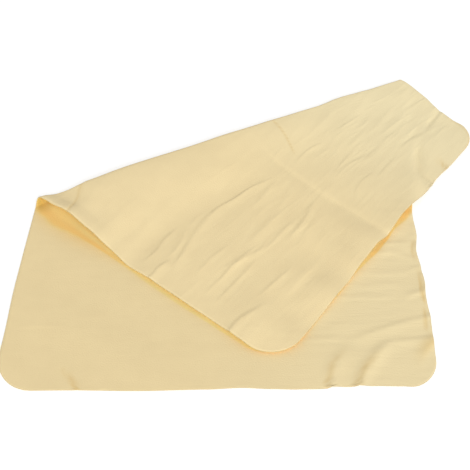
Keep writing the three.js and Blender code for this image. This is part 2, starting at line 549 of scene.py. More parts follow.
    def edge_draw(self, u: np.ndarray, v: np.ndarray) -> np.ndarray:
        """Return how far the flap's cut edges are drawn in, in the plane of the table.

        Args:
            u: Places across the cut sheet.
            v: Places along the cut sheet.

        Returns:
            Shifts to the right and to the back, one row for each point.
        """
        sideways = self.left_draw.near(v, u) - self.right_draw.near(v, self.sheet.width - u)
        endways = self.free_draw.near(u, self.sheet.length - v)
        across = 2.0 * self.along[0] * self.along - np.array([1.0, 0.0])
        onward = 2.0 * self.along[1] * self.along - np.array([0.0, 1.0])
        return np.outer(sideways, across) - np.outer(endways, onward)


class ClothFace(Enum):
    """The two faces of the sheet, by the share of the half thickness at which they lie."""

    INNER = -1.0
    OUTER = 1.0


# Creases of the lower layer, from the front right corner round to the left
LOWER_CREASES: tuple[Crease, ...] = (
    Crease("outer fold, from the front edge", ((243, -2), (242, 8), (245, 19), (251, 30), (261, 40)),
           height=1.9, left=3.0, right=12, fade_in=0.0, fade_out=0.5, pinch=0.7),
    Crease("groove of the outer fold", ((240, -2), (240, 7), (243, 17), (250, 28), (257, 36)),
           height=0.15, left=2.8, right=3.4, fade_in=0.0, fade_out=0.6, form=CreaseForm.VALLEY,
           groove_shade_share=0.36),
    Crease("outer fold, to the right edge",
           ((250, 38), (262, 42), (275, 47), (289, 52), (304, 57), (322, 61)),
           height=0.7, left=3.0, right=9, fade_in=0.4, fade_out=0.0, pinch=0.6),
    Crease("inner fold, from the front edge", ((262, -2), (266, 11), (274, 24), (283, 35), (290, 40)),
           height=2.2, left=4.8, right=10, fade_in=0.0, fade_out=0.45, pinch=0.4),
    Crease("groove of the inner fold", ((260, -2), (264, 10), (272, 22), (282, 35)), height=0.3, left=3.2,
           right=5, fade_in=0.0, fade_out=0.5, form=CreaseForm.VALLEY, groove_shade_share=0.38),
    Crease("inner fold, to the right edge", ((276, 35), (291, 39), (304, 40), (322, 42)),
           height=0.7, left=2.8, right=8, fade_in=0.5, fade_out=0.0, pinch=0.6),
    Crease("tuck at the corner", ((323, 40), (315, 33), (310, 25), (305, 13)),
           height=1.3, left=6, right=10, fade_in=0.0, fade_out=0.8, groove_shade_share=0.38),
    Crease("first lip of the right edge", ((321, 136), (321, 125), (321, 112)),
           height=1.4, left=5, right=5),
    Crease("groove of the first lip", ((318, 138), (317, 126), (318, 112)),
           height=0.1, left=2.2, right=2.2, form=CreaseForm.VALLEY, groove_shade_share=0.3),
    Crease("second lip of the right edge", ((321, 108), (321, 92), (321, 70)),
           height=1.5, left=5, right=5),
    Crease("groove of the second lip", ((318, 112), (317, 92), (318, 80), (319, 68)),
           height=0.1, left=2.4, right=2.4, fade_in=0.4, form=CreaseForm.VALLEY, groove_shade_share=0.55),
    Crease("third lip of the right edge", ((321, 68), (321, 56), (321, 44)), height=1.0, left=5, right=5),
    Crease("groove of the third lip", ((317, 72), (316, 57), (316, 46)), height=0.1, left=2.2, right=2.2,
           form=CreaseForm.VALLEY, groove_shade_share=0.45),
    thin_line("line before the corner folds", ((218, 40), (237, 40), (256, 42)), 0.45, gentle=5, steep=2),
    thin_line("short line beside it", ((240, 52), (250, 53), (262, 52)), 0.35, gentle=4, steep=2),
    thin_line("first line at the right", ((238, 77), (260, 78), (280, 78), (298, 80)), 0.35, steep=2),
    thin_line("second line at the right", ((250, 89), (276, 88), (292, 89), (308, 84)), 0.35, steep=2),
    thin_line("third line at the right", ((270, 103), (290, 101), (310, 104)), 0.25, gentle=5, steep=2.4),
    Crease("first wave of the right edge", ((296, 70), (307, 79), (322, 85)), height=0.8, left=6, right=3,
           fade_in=0.9, fade_out=0.0),
    Crease("second wave of the right edge", ((296, 97), (311, 105), (322, 108)),
           height=0.7, left=6, right=4, fade_in=0.9, fade_out=0.0),
    Crease("ridge before the flap", ((270, 118), (284, 120), (299, 123), (322, 112)), height=0.45, left=5,
           right=5, fade_in=0.6, fade_out=0.0),
    Crease("rise before the flap", ((214, 45), (232, 68), (257, 100), (282, 131), (304, 159), (325, 186)),
           height=1.2, left=40, right=17, fade_in=0.2, fade_out=0.0, pinch=0.0),
    Crease("wave beside the flap", ((280, 125), (292, 130), (304, 132), (322, 133)), height=0.62, left=4,
           right=15, pinch=0.3),
    Crease("last wave of the right edge", ((302, 159), (322, 163)),
           height=0.5, left=5, right=5, fade_in=0.9, fade_out=0.0),
    Crease("middle packing crease", ((151, -2), (151, 30), (150, 60), (152, 90)),
           height=0.3, left=9, right=6, fade_in=0.0, fade_out=0.8),
    Crease("nick of the front edge", ((44, 20), (53, 10), (62, -2)), height=0.5, left=2.4, right=2.4,
           fade_in=0.8, fade_out=0.0, groove_shade_share=0.6),
    Crease("line beside the nick", ((72, 23), (78, 10), (80, -2)),
           height=0.35, left=3, right=3, fade_in=0.8, fade_out=0.0),
    thin_line("line at the left", ((4, 52), (24, 53), (50, 52)), 0.14, gentle=5, steep=2.4),
    *FineLines(seed=21, count=30, middle=(262, 84), spread=(34, 38), height=(0.06, 0.17)).creases(),
    *FineLines(seed=23, count=14, middle=(110, 90), spread=(60, 50), height=(0.04, 0.1)).creases(),
)

# Creases of the flap, from the left edge to the right corner
FLAP_CREASES: tuple[Crease, ...] = (
    Crease("valley behind the mouth", ((36, 195), (27, 199), (20, 203), (6, 209), (-2, 212)), height=0.2,
           left=8, right=5.5, fade_in=0.15, fade_out=0.0, form=CreaseForm.VALLEY),
    Crease("crease in that valley", ((40, 193), (34, 196), (27, 199), (20, 203), (6, 209), (-2, 212)),
           height=0.6, left=2.4, right=2.2, fade_in=0.1, fade_out=0.0, pinch=0.8, form=CreaseForm.VALLEY,
           groove_shade_share=0.3),
    Crease("swell behind the mouth", ((27, 186), (21, 202), (17, 217), (16, 236), (18, 264)), height=2.0,
           left=17, right=22, fade_in=0.55, fade_out=0.6, pinch=0.0),
    Crease("swell above the drag fold", ((60, 258), (96, 266), (130, 277), (168, 292)),
           height=0.9, left=24, right=42, pinch=0.0),
    Crease("long drag fold, at the edge", ((-2, 305), (4, 306), (13, 305), (26, 308)),
           height=0.85, left=8, right=1.8, fade_in=0.0),
    Crease("long drag fold",
           ((16, 315), (28, 312), (42, 308), (60, 303.4), (76, 301.4), (92, 302), (110, 306.6),
            (125, 309), (143, 316), (154, 319)),
           height=0.89, left=9, right=1.7, fade_in=0.15, pinch=0.6),
    Crease("line above the drag fold", ((22, 305), (36, 303), (52, 298), (68, 295), (86, 296)),
           height=0.55, left=4, right=1.8, fade_in=0.2),
    thin_line("line beside the drag fold", ((6, 290), (22, 292), (36, 289), (56, 289)), 0.7, gentle=7),
    thin_line("branch of the drag fold", ((108, 325), (128, 322), (146, 321)), 0.68, gentle=7, steep=2.0),
    thin_line("short fold by the middle", ((104, 369), (120, 367), (135, 364), (152, 358)),
              0.94, steep=2.0),
    thin_line("line under the short fold", ((106, 377), (124, 374), (142, 371)), 0.42, steep=1.8),
    thin_line("first line below the drag fold", ((40, 343), (60, 349), (80, 352)), 0.51, gentle=5),
    thin_line("second line below the drag fold",
              ((6, 349), (34, 350), (49, 349), (64, 352), (78, 356), (98, 353)), 0.64),
    thin_line("third line below the drag fold", ((10, 361), (43, 361), (76, 359)), 0.51, steep=1.8),
    thin_line("fourth line below the drag fold", ((24, 333), (46, 331), (70, 335)), 0.34, steep=2.0),
    Crease("soft swell below the drag fold", ((76, 347), (100, 345), (122, 345)),
           height=0.7, left=8, right=5, pinch=0.2),
    thin_line("short line by the middle", ((88, 360), (106, 359), (124, 360)), 0.51, gentle=5),
    thin_line("line towards the low corner", ((38, 384), (60, 385), (84, 388)), 0.47, steep=1.8),
    Crease("fold from the left edge", ((-2, 386), (14, 386), (28, 390), (48, 395)), height=1.0, left=8,
           right=3, fade_in=0.0, fade_out=0.6),
    Crease("hollow of the low corner", ((52, 406), (76, 404), (104, 408)), height=1.0, left=8, right=6,
           pinch=0.2, form=CreaseForm.VALLEY),
    thin_line("line in the low corner", ((40, 404), (57, 409), (76, 418)), 0.5, steep=3),
    Crease("thin crease from the fold", ((199, 268), (193, 291), (186, 306), (179, 318)), height=0.55,
           left=1.9, right=1.6, fade_in=0.0, pinch=0.8, form=CreaseForm.VALLEY, groove_shade_share=0.34),
    Crease("middle packing crease",
           ((172, 256), (166, 290), (163, 306), (161, 342), (160, 360), (161, 390), (160, 432)),
           height=0.82, left=14, right=4.5, fade_in=0.45, fade_out=0.0, pinch=0.9,
           form=CreaseForm.VALLEY),
    Crease("valley before the right corner", ((323, 386), (308, 387), (293, 388), (276, 389)),
           height=0.95, left=6, right=4, fade_in=0.0, fade_out=0.5, form=CreaseForm.VALLEY),
    Crease("second valley before the right corner", ((284, 388), (269, 384), (250, 382)),
           height=0.65, left=6, right=3, form=CreaseForm.VALLEY),
    Crease("wedge at the right corner", ((274, 389), (252, 404), (240, 415), (236, 432)),
           height=2.2, left=4.5, right=6, fade_out=0.0, form=CreaseForm.VALLEY),
    Crease("nick of the free edge", ((266, 412), (261, 432)), height=1.0, left=4, right=4, fade_in=0.8,
           fade_out=0.0, form=CreaseForm.VALLEY, groove_shade_share=0.4),
    thin_line("line in the right corner", ((282, 401), (296, 401), (312, 401)), 0.27, gentle=5),
    thin_line("first line at the right", ((240, 352), (265, 351), (290, 348)), 0.44),
    thin_line("second line at the right", ((214, 347), (234, 347), (256, 345)), 0.34),
    thin_line("third line at the right", ((180, 356), (209, 353), (230, 352)), 0.38),
    thin_line("fourth line at the right", ((182, 359), (204, 360), (228, 367)), 0.41),
    thin_line("fifth line at the right", ((220, 373), (244, 368), (266, 369)), 0.34, steep=1.8),
    thin_line("sixth line at the right", ((252, 362), (276, 363), (300, 359)), 0.34, steep=1.8),
    thin_line("seventh line at the right", ((244, 343), (256, 341), (272, 335)), 0.34),
    thin_line("eighth line at the right", ((204, 389), (222, 387), (244, 388)), 0.34, steep=1.8),
    thin_line("line below the fold's right end", ((246, 327), (266, 325), (288, 315)), 0.38),
    thin_line("line beside it", ((216, 332), (240, 330), (260, 333)), 0.30, steep=1.8),
    Crease("crease from the pinched fold", ((259, 299), (242, 308), (222, 311), (198, 313)), height=0.8,
           left=3, right=7, fade_in=0.0, fade_out=0.6),
    thin_line("line beside the middle crease", ((174, 322), (192, 321), (212, 327)), 0.42, steep=1.8),
    thin_line("line towards the free edge", ((174, 385), (192, 380), (212, 382)), 0.38, steep=1.8),
    Crease("rim of the right corner", ((319, 392), (319, 406), (314, 421), (303, 429), (276, 430)),
           height=0.2, left=2.4, right=2.4, form=CreaseForm.VALLEY, groove_shade_share=0.2),
    *FineLines(seed=31, count=76, middle=(246, 350), spread=(42, 28), length=(16, 54), slant=15).creases(),
    *FineLines(seed=33, count=44, middle=(92, 338), spread=(42, 34), length=(18, 58)).creases(),
    *FineLines(seed=35, count=10, middle=(90, 250), spread=(50, 26), height=(0.04, 0.1)).creases(),
)

LOWER_SWELL = Crumple(seed=3, height=0.2, across=(60, 150), along=(50, 120))
LOWER_WRINKLES = Crumple(seed=5, height=0.03, across=(40, 110), along=(7, 16), left_share=0.3)
FLAP_SWELL = Crumple(seed=11, height=0.22, across=(60, 160), along=(40, 90))
FLAP_WRINKLES = Crumple(seed=7, height=0.04, across=(40, 120), along=(7, 16), left_share=0.4)
FLAP_FACETS = Crumple(seed=13, height=0.08, across=(18, 44), along=(18, 38), left_share=0.3)


class ClothMap:
    """The map of the cut sheet that the cloth's materials read, with its two faces side by side."""

    NAME = "cut_sheet"
    # Millimetres of the cut sheet that fill the map, and widths of the sheet from face to face
    SPAN = 700.0
    FACE_STEP = 1.1


class ClothMask(Enum):
    """What the cloth's points carry for its materials, by the name of the attribute."""

    # Painted shade and warm bounced light of the gap between the layers
    GAP_SHADE = "gap_shade"
    GAP = "gap"
    # Painted light: the bright orange band of light bounced between the layers in the gap's openings
    GAP_GLOW = "lens"
    # Painted shade that trails out over the lower layer from the flap's edge
    TAIL = "tail"
    WORN = "worn"
    # Paler towards the right, less on the lower layer
    RIGHT_TINT = "right_tint"
    # Painted shade in grooves, creases and nicks
    GROOVE_SHADE = "groove_shade"
    # Painted shade inside the mouth at the fold's left end
    MOUTH_SHADE = "mouth"


@dataclass
class FoldedCloth:
    """The whole cloth as one closed sheet, folded and creased. Lengths are in millimetres.

    Attributes:
        corner: The cut sheet's front left corner in the frame, in metres.
        sheet: The cut sheet.
        columns: How many columns of faces run from the left edge to the right one.
        column_density: Places across the sheet, and how closely the columns lie there.
        lower_rows: Rows of faces between the rounded front and the roll.
        flap_rows: Rows of faces between the roll and the rounded far edge.
        roll_rows: Rows of faces in each half of the roll.
        corner_rows: Rows of faces in each rounded end.
        cut_bulge: How far the cut edge stands out at mid thickness.
        calm_span: Distances out from the flap's edge between which the lower layer's creases rise.
        crease_span: Distances past the fold between which the flap's creases rise.
        left_reach: Places along the flap's left edge, and how far out of it the painted shade of the gap
            shows.
        free_reach: The same along the flap's free edge.
        left_tail: Places along the flap's left edge, and the share of painted shade that trails out.
        tail_length: Places along the flap's left edge, and how far out that trail ends.
        free_tail: Share and length of the trail along the flap's free edge.
        tail_fall: How quickly the trail gives way, as a power.
        under_span: How far in from the flap's edge the painted shade of the gap starts and ends to give
            way.
        under_share: Share of that painted shade that is left there.
        mouth_shade_span: Distances from the fold between which the painted shade in the fold's mouth gives
            way.
        mouth_width: Distances from the left edge between which it gives way.
        mouth_shade_share: Share of that painted shade at the fold's left end.
        glow_span: Where along the flap's left edge the painted light of the mouth gives way, a band of
            bright orange light bounced between the layers.
        glow_share: Share of that painted light's colour in the band.
        free_glow: Places along the flap's free edge, and the share of that painted light in the openings
            there.
        tint_span: Where across the sheet its colour turns paler.
        lower_tint_share: How much paler the lower layer turns, of what the flap does.
        lower_wear: How crumpled the lower layer's surface is, and how much more at the right.
        lower_wear_span: Where across the sheet that rises.
        flap_wear: How crumpled the flap's surface is, and how much more away from the fold.
        flap_wear_along: Where along the flap that rises.
        flap_wear_across: Where across the flap it rises.
        fold: The fold of this sheet.
    """

    corner: Vector
    sheet: CutSheet = CutSheet()
    columns: int = 115
    column_density: Points = (
        (0, 2.2), (36, 2.2), (54, 0.8), (130, 0.8), (150, 1.2), (174, 2.6), (204, 2.6), (224, 0.9),
        (262, 1.0), (300, 1.4), (312, 2.4), (320, 2.4),
    )
    lower_rows: int = 160
    flap_rows: int = 210
    roll_rows: int = 10
    corner_rows: int = 10
    cut_bulge: float = 0.3
    calm_span: Point = (-45.0, -6.0)
    crease_span: Point = (-4.0, 8.0)
    left_reach: Points = (
        (176, 9), (194, 9.5), (204, 12), (212, 10.5), (222, 7.5), (234, 5.4), (248, 4.0),
        (266, 3.2), (284, 3.0), (310, 3.8), (340, 3.4), (370, 2.2), (402, 0.9),
    )
    free_reach: Points = (
        (0, 0.6), (26, 3.6), (50, 0.8), (80, 2.8), (100, 0.7), (120, 2.4), (134, 3.6), (148, 3.2),
        (160, 2.0), (180, 6.0),
    )
    left_tail: Points = (
        (176, 0.5), (190, 0.7), (222, 0.72), (236, 0.62), (250, 0.45), (266, 0.32), (284, 0.2),
        (312, 0.15), (402, 0.1),
    )
    tail_length: Points = ((176, 22), (222, 28), (250, 20), (284, 10), (402, 6))
    free_tail: Point = (0.14, 8.0)
    tail_fall: float = 1.3
    under_span: Point = (8.0, 32.0)
    under_share: float = 0.12
    mouth_shade_span: Point = (5.0, 22.0)
    mouth_width: Point = (3.0, 19.0)
    mouth_shade_share: float = 0.9
    glow_span: Point = (240.0, 310.0)
    glow_share: float = 0.9
    free_glow: Points = ((114, 0.0), (130, 0.9), (150, 0.9), (160, 0.1), (170, 0.5), (180, 0.9))
    tint_span: Point = (120.0, 300.0)
    lower_tint_share: float = 0.75
    lower_wear: Point = (0.15, 0.25)
    lower_wear_span: Point = (150.0, 300.0)
    flap_wear: Point = (0.2, 0.34)
    flap_wear_along: Point = (270.0, 340.0)
    flap_wear_across: Point = (-40.0, 60.0)
    fold: SlantingFold = field(init=False)

    NAME = "folded_cloth"
    INNER_SLOT = 0
    OUTER_SLOT = 1
    CUT_SLOT = 2
    # How many steps of the density are added up for each column
    DENSITY_STEPS = 10
    # Depth of the cut edge's two inner loops, of the half thickness
    LOOP_DEPTH = 0.5

    def __post_init__(self) -> None:
        """Tie the fold to the sheet."""
        self.fold = SlantingFold(self.sheet)

    def build(self, finishes: tuple[ChamoisFinish, ...]) -> bpy.types.Object:
        """Make the cloth and fold it.

        Args:
            finishes: The finishes of the inner face, the outer face and the cut edge.

        Returns:
            The finished cloth.
        """
        u, v, depth, faces, slots = self._net()
        flat = np.stack([u, v, depth * self.sheet.thickness / 2.0], 1) * MM + np.array(self.corner)
        mesh = bpy.data.meshes.new(self.NAME)
        mesh.from_pydata(flat.tolist(), [], faces.tolist())
        cloth = bpy.data.objects.new(self.NAME, mesh)
        bpy.context.scene.collection.objects.link(cloth)
        self._map(mesh, u, v, depth)
        for finish in finishes:
            mesh.materials.append(finish.material())
        mesh.polygons.foreach_set("material_index", slots)
        mesh.polygons.foreach_set("use_smooth", np.ones(len(faces), bool))
        self._join_bodies(cloth)
        folded = self._lay(u, v, depth) * MM + np.array(self.corner)
        mesh.vertices.foreach_set("co", folded.astype(np.float32).ravel())
        mesh.update()
        return cloth

    def _join_bodies(self, cloth: bpy.types.Object) -> None:
        """Bake the cloth's transform into its mesh.

        Args:
            cloth: The cloth, still flat.
        """
        half_strip = self.fold.roll(np.array(0.0)) * QUARTER_TURN
        middle = np.array([self.sheet.width / 2.0, self.fold.line(self.sheet.width / 2.0)])
        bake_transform(cloth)

    def _column_shares(self) -> np.ndarray:
        """Place the columns across the sheet, closer where creases run along it.

        Returns:
            Shares of the sheet's width, from 0 to 1.
        """
        across = np.linspace(0.0, 1.0, self.DENSITY_STEPS * self.columns + 1)
        density = eased(self.column_density, across * self.sheet.width)
        count = np.concatenate([[0.0], np.cumsum(density[1:] + density[:-1])])
        return np.interp(np.linspace(0.0, count[-1], self.columns + 1), count, across)

    def _rows(self) -> tuple[np.ndarray, np.ndarray]:
        """Lay out the sheet's net, one row of points after another.

        Returns:
            u and v of the points, in millimetres, with a row of the net in each row.
        """
        sheet, shares = self.sheet, self._column_shares()
        straight = shares * sheet.width
        fold, reach = self.fold.line(straight), self.fold.roll_reach(straight)
        radius = sheet.corner_radius
        turns = np.linspace(0.0, QUARTER_TURN, self.corner_rows, endpoint=False)
        ends = radius * (1.0 - np.cos(turns))
        rows_v = [np.full_like(shares, from_edge) for from_edge in ends]
        for share in np.linspace(0.0, 1.0, self.lower_rows, endpoint=False):
            rows_v.append(mix(radius, fold - reach, share))
        for share in np.linspace(-1.0, 1.0, 2 * self.roll_rows, endpoint=False):
            rows_v.append(fold + share * reach)
        for share in np.linspace(0.0, 1.0, self.flap_rows, endpoint=False):
            rows_v.append(mix(fold + reach, sheet.length - radius, share))
        rows_v.append(np.full_like(shares, sheet.length - radius))
        rows_v += [np.full_like(shares, sheet.length - from_edge) for from_edge in reversed(ends)]

        rows_u = [straight] * len(rows_v)
        for index, from_edge in enumerate(ends):
            left = sheet.inset(radius, from_edge)
            right = sheet.inset(sheet.right_radius, from_edge)
            rows_u[index] = rows_u[-1 - index] = mix(left, sheet.width - right, shares)
        return np.array(rows_u), np.array(rows_v)

    def _net(self) -> tuple[np.ndarray, np.ndarray, np.ndarray, np.ndarray, np.ndarray]:
        """Return the closed sheet's points and faces.

        Returns:
            u and v in millimetres, depth as a share of the half thickness, the faces as four point
            numbers each, and the material slot of each face.
        """
        rows_u, rows_v = self._rows()
        count = rows_u.size
        number = np.arange(count).reshape(rows_u.shape)
        inner = np.stack([number[:-1, :-1], number[:-1, 1:], number[1:, 1:], number[1:, :-1]], -1)
        inner = inner.reshape(-1, 4)
        outer = inner[:, ::-1] + count

        ring = np.concatenate([number[0, :-1], number[:-1, -1], number[-1, :0:-1], number[:0:-1, 0]])
        edge = np.stack([rows_u.ravel()[ring], rows_v.ravel()[ring]], 1)
        tangent = np.roll(edge, -1, 0) - np.roll(edge, 1, 0)
        tangent /= np.linalg.norm(tangent, axis=1)[:, None]
        bulge = edge + np.stack([tangent[:, 1], -tangent[:, 0]], 1) * self.cut_bulge
        steps = len(ring)
        loops = [ring, 2 * count + np.arange(steps), 2 * count + steps + np.arange(steps), ring + count]
        cuts = []
        for upper, lower in zip(loops, loops[1:]):
            cuts.append(np.stack([upper, lower, np.roll(lower, -1), np.roll(upper, -1)], 1))

        u = np.concatenate([rows_u.ravel(), rows_u.ravel(), bulge[:, 0], bulge[:, 0]])
        v = np.concatenate([rows_v.ravel(), rows_v.ravel(), bulge[:, 1], bulge[:, 1]])
        faces_at = np.array([ClothFace.INNER.value, ClothFace.OUTER.value])
        depth = np.concatenate([np.repeat(faces_at, count), np.repeat(faces_at * self.LOOP_DEPTH, steps)])
        faces = np.concatenate([inner, outer, *cuts])
        slots = np.full(len(faces), self.CUT_SLOT, np.int32)
        slots[:len(inner)] = self.INNER_SLOT
        slots[len(inner):len(inner) + len(outer)] = self.OUTER_SLOT
        return u, v, depth, faces, slots

    def _map(self, mesh: bpy.types.Mesh, u: np.ndarray, v: np.ndarray, depth: np.ndarray) -> None:
        """Give the mesh its map of the cut sheet and what its points carry for the materials.

        Args:
            mesh: The cloth's mesh.
            u: Places across the cut sheet, in millimetres.
            v: Places along the cut sheet, in millimetres.
            depth: Shares of the half thickness.
        """
        side = np.where(depth > 0, self.sheet.width * ClothMap.FACE_STEP, 0.0)
        places = np.stack([u + side, v], 1) / ClothMap.SPAN
        corners = np.empty(len(mesh.loops), np.int32)
        mesh.loops.foreach_get("vertex_index", corners)
        layer = mesh.uv_layers.new(name=ClothMap.NAME)
        layer.data.foreach_set("uv", places[corners].astype(np.float32).ravel())
        for mask, values in self._masks(u, v, depth < 0).items():
            carried = mesh.attributes.new(mask.value, "FLOAT", "POINT")
            carried.data.foreach_set("value", values.astype(np.float32))

    def _masks(self, u: np.ndarray, v: np.ndarray, inside: np.ndarray) -> dict[ClothMask, np.ndarray]:
        """Return what the points carry for the materials.

        Args:
            u: Places across the cut sheet, in millimetres.
            v: Places along the cut sheet, in millimetres.
            inside: Which points are on the inner side of the sheet.

        Returns:
            One value for each point, by what it stands for.
        """
        from_fold = np.abs(v - self.fold.line(u))
        is_flap = v > self.fold.line(u)
        lower_inside = inside & ~is_flap
        # Painted shade inside the fold's mouth, at its left end
        mouth = (1.0 - soft_step(from_fold, *self.mouth_shade_span)) * (1.0 - soft_step(u, *self.mouth_width))
        flap_u, flap_v, by_free_edge = self._mirrored(u, v)
        # Painted light in the gap's openings, by the flap's left and free edges
        lens = self.glow_share * (1.0 - soft_step(flap_v, *self.glow_span))
        lens = np.where(by_free_edge, eased(self.free_glow, flap_u), lens)
        # Painted shade in the creases' grooves, on the face of each layer that shows
        lower_groove_shade = sum(crease.tone(u, v) for crease in LOWER_CREASES)
        flap_groove_shade = sum(crease.tone(u, v) for crease in FLAP_CREASES)
        groove_shade = np.where(inside, np.where(is_flap, 0.0, lower_groove_shade), np.where(is_flap, flap_groove_shade, 0.0))
        return {
            ClothMask.GAP_SHADE: np.where(inside, self._gap_shade(u, v, is_flap), 0.0),
            ClothMask.GAP: np.where(is_flap, 0.0, self._gap(u, v)),
            ClothMask.GAP_GLOW: np.where(lower_inside, lens, 0.0),
            ClothMask.TAIL: np.where(lower_inside, self._tail(u, v), 0.0),
            ClothMask.GROOVE_SHADE: groove_shade,
            ClothMask.MOUTH_SHADE: np.where(inside, self.mouth_shade_share * mouth, 0.0),
            ClothMask.WORN: self._worn(u, v, is_flap),
            ClothMask.RIGHT_TINT: soft_step(u, *self.tint_span) * np.where(is_flap, 1.0, self.lower_tint_share),
        }

    def _worn(self, u: np.ndarray, v: np.ndarray, is_flap: np.ndarray) -> np.ndarray:
        """Return how crumpled the cloth's surface is, from 0 to 1.

        Args:
            u: Places across the cut sheet, in millimetres.
            v: Places along the cut sheet, in millimetres.
            is_flap: Which points are on the flap.

        Returns:
            Shares that rise to the right, and on the flap away from the fold.
        """
        lower = self.lower_wear[0] + self.lower_wear[1] * soft_step(u, *self.lower_wear_span)
        more = soft_step(v, *self.flap_wear_along) * soft_step(u, *self.flap_wear_across)
        return np.where(is_flap, self.flap_wear[0] + self.flap_wear[1] * more, lower)

    def _gap_shade(self, u: np.ndarray, v: np.ndarray, is_flap: np.ndarray) -> np.ndarray:
        """Return the share of the gap's painted shade on the inner face.

        Args:
            u: Places across the cut sheet, in millimetres.
            v: Places along the cut sheet, in millimetres.
            is_flap: Which points are on the flap.

        Returns:
            Shares from 0 to 1, less where the layers lie close together.
        """
        under = np.where(is_flap, np.minimum(u, self.sheet.length - v), -self._outside_flap(u, v))
        return mix(1.0, self.under_share, soft_step(under, *self.under_span))

    def _tail(self, u: np.ndarray, v: np.ndarray) -> np.ndarray:
        """Return how much painted shade trails out over the lower layer from the flap's edge.

        Args:
            u: Places across the cut sheet, in millimetres.
            v: Places along the cut sheet, in millimetres.

        Returns:
            Shares from 0 to 1, less away from the flap.
        """
        _, flap_v, by_free_edge = self._mirrored(u, v)
        share = np.where(by_free_edge, self.free_tail[0], eased(self.left_tail, flap_v))
        length = np.where(by_free_edge, self.free_tail[1], eased(self.tail_length, flap_v))
        return share * (1.0 - np.clip(self._outside_flap(u, v) / length, 0.0, 1.0)) ** self.tail_fall

    def _gap(self, u: np.ndarray, v: np.ndarray) -> np.ndarray:
        """Return how far points of the lower layer lie outside the flap, of the reach of the gap's painted
        shade.

        Args:
            u: Places across the cut sheet, in millimetres.
            v: Places along the cut sheet, in millimetres.

        Returns:
            Distances as shares of the reach, negative under the flap.
        """
        flap_u, flap_v, by_free_edge = self._mirrored(u, v)
        reach = np.where(by_free_edge, eased(self.free_reach, flap_u), eased(self.left_reach, flap_v))
        return self._outside_flap(u, v) / reach

    def _mirrored(self, u: np.ndarray, v: np.ndarray) -> tuple[np.ndarray, np.ndarray, np.ndarray]:
        """Return the places of the flap that lie over places of the lower layer.

        Args:
            u: Places across the cut sheet, in millimetres.
            v: Places along the cut sheet, in millimetres.

        Returns:
            u and v of those places, and which are by the flap's free edge and not by its left one.
        """
        fold = self.fold
        place = np.stack([u, v - fold.on_left_edge], 1)
        mirror = place - 2.0 * (place @ fold.inward)[:, None] * fold.inward
        flap_u, flap_v = mirror[:, 0], mirror[:, 1] + fold.on_left_edge
        return flap_u, flap_v, flap_v - self.sheet.length > -flap_u

    def _outside_flap(self, u: np.ndarray, v: np.ndarray) -> np.ndarray:
        """Return how far points of the lower layer lie outside the flap's edge.

        Args:
            u: Places across the cut sheet, in millimetres.
            v: Places along the cut sheet, in millimetres.

        Returns:
            Distances in millimetres, negative under the flap.
        """
        flap_u, flap_v, _ = self._mirrored(u, v)
        radius = self.sheet.corner_radius
        beside = np.maximum(-flap_u, flap_u - self.sheet.width) + radius
        beyond = flap_v - self.sheet.length + radius
        round_corner = np.hypot(np.maximum(beside, 0.0), np.maximum(beyond, 0.0))
        return round_corner + np.minimum(np.maximum(beside, beyond), 0.0) - radius

    def _lower_relief(self, u: np.ndarray, v: np.ndarray) -> np.ndarray:
        """Return how far the lower layer's middle stands above where it would lie flat.

        Args:
            u: Places across the cut sheet, in millimetres.
            v: Places along the cut sheet, in millimetres.

        Returns:
            Heights in millimetres, never below zero.
        """
        height = sum(crease.relief(u, v) for crease in LOWER_CREASES)
        height = height + LOWER_SWELL.relief(u, v) + LOWER_SWELL.height + LOWER_WRINKLES.relief(u, v)
        return np.maximum(height, 0.0) * soft_step(self._outside_flap(u, v), *self.calm_span)

    def _flap_relief(self, u: np.ndarray, v: np.ndarray) -> np.ndarray:
        """Return how far the flap's middle stands above its smooth shape.

        Args:
            u: Places across the cut sheet, in millimetres.
            v: Places along the cut sheet, in millimetres.

        Returns:
            Heights in millimetres.
        """
        height = sum(crease.relief(u, v) for crease in FLAP_CREASES)
        for crumple in (FLAP_SWELL, FLAP_WRINKLES, FLAP_FACETS):
            height = height + crumple.relief(u, v)
        return height + self.fold.edge_lift(u, v)

    def _lay(self, u: np.ndarray, v: np.ndarray, depth: np.ndarray) -> np.ndarray:
        """Carry points of the cut sheet to where they lie in the folded cloth.

        Args:
            u: Places across the cut sheet, in millimetres.
            v: Places along the cut sheet, in millimetres.
            depth: Shares of the half thickness, outwards from the fold.

        Returns:
            Points in millimetres from the front left corner, one row each.
        """
        sheet, fold = self.sheet, self.fold
        half = sheet.thickness / 2.0
        across = np.clip(u / sheet.width, 0.0, 1.0)
        fold_v = fold.line(u)
        is_flap = v > fold_v
        rise = np.where(is_flap, 1.0, -1.0)
        radius = fold.roll(u)
        place = np.stack([u, v - fold.on_left_edge], 1)
        along = place @ fold.along
        distance = np.abs(place @ fold.inward)
        turn = np.minimum(distance / radius, QUARTER_TURN)
        past_roll = np.maximum(distance - radius * QUARTER_TURN, 0.0)
        inward = np.where(past_roll > 0, distance, radius * (QUARTER_TURN - np.cos(turn)))

        from_fold = np.where(is_flap, (v - fold_v) / (sheet.length - fold_v), (fold_v - v) / fold_v)
        plan = np.outer(along, fold.along) + np.outer(inward, fold.inward)
        plan += np.array([0.0, fold.on_left_edge])
        plan += fold.pulls.shift(across, np.clip(from_fold, 0.0, 1.0), is_flap)
        plan += np.where(is_flap[:, None], fold.edge_draw(u, v), fold.lower_pull(u, v))
        plan -= np.outer(fold.fold_bow.near(u, distance), fold.inward)

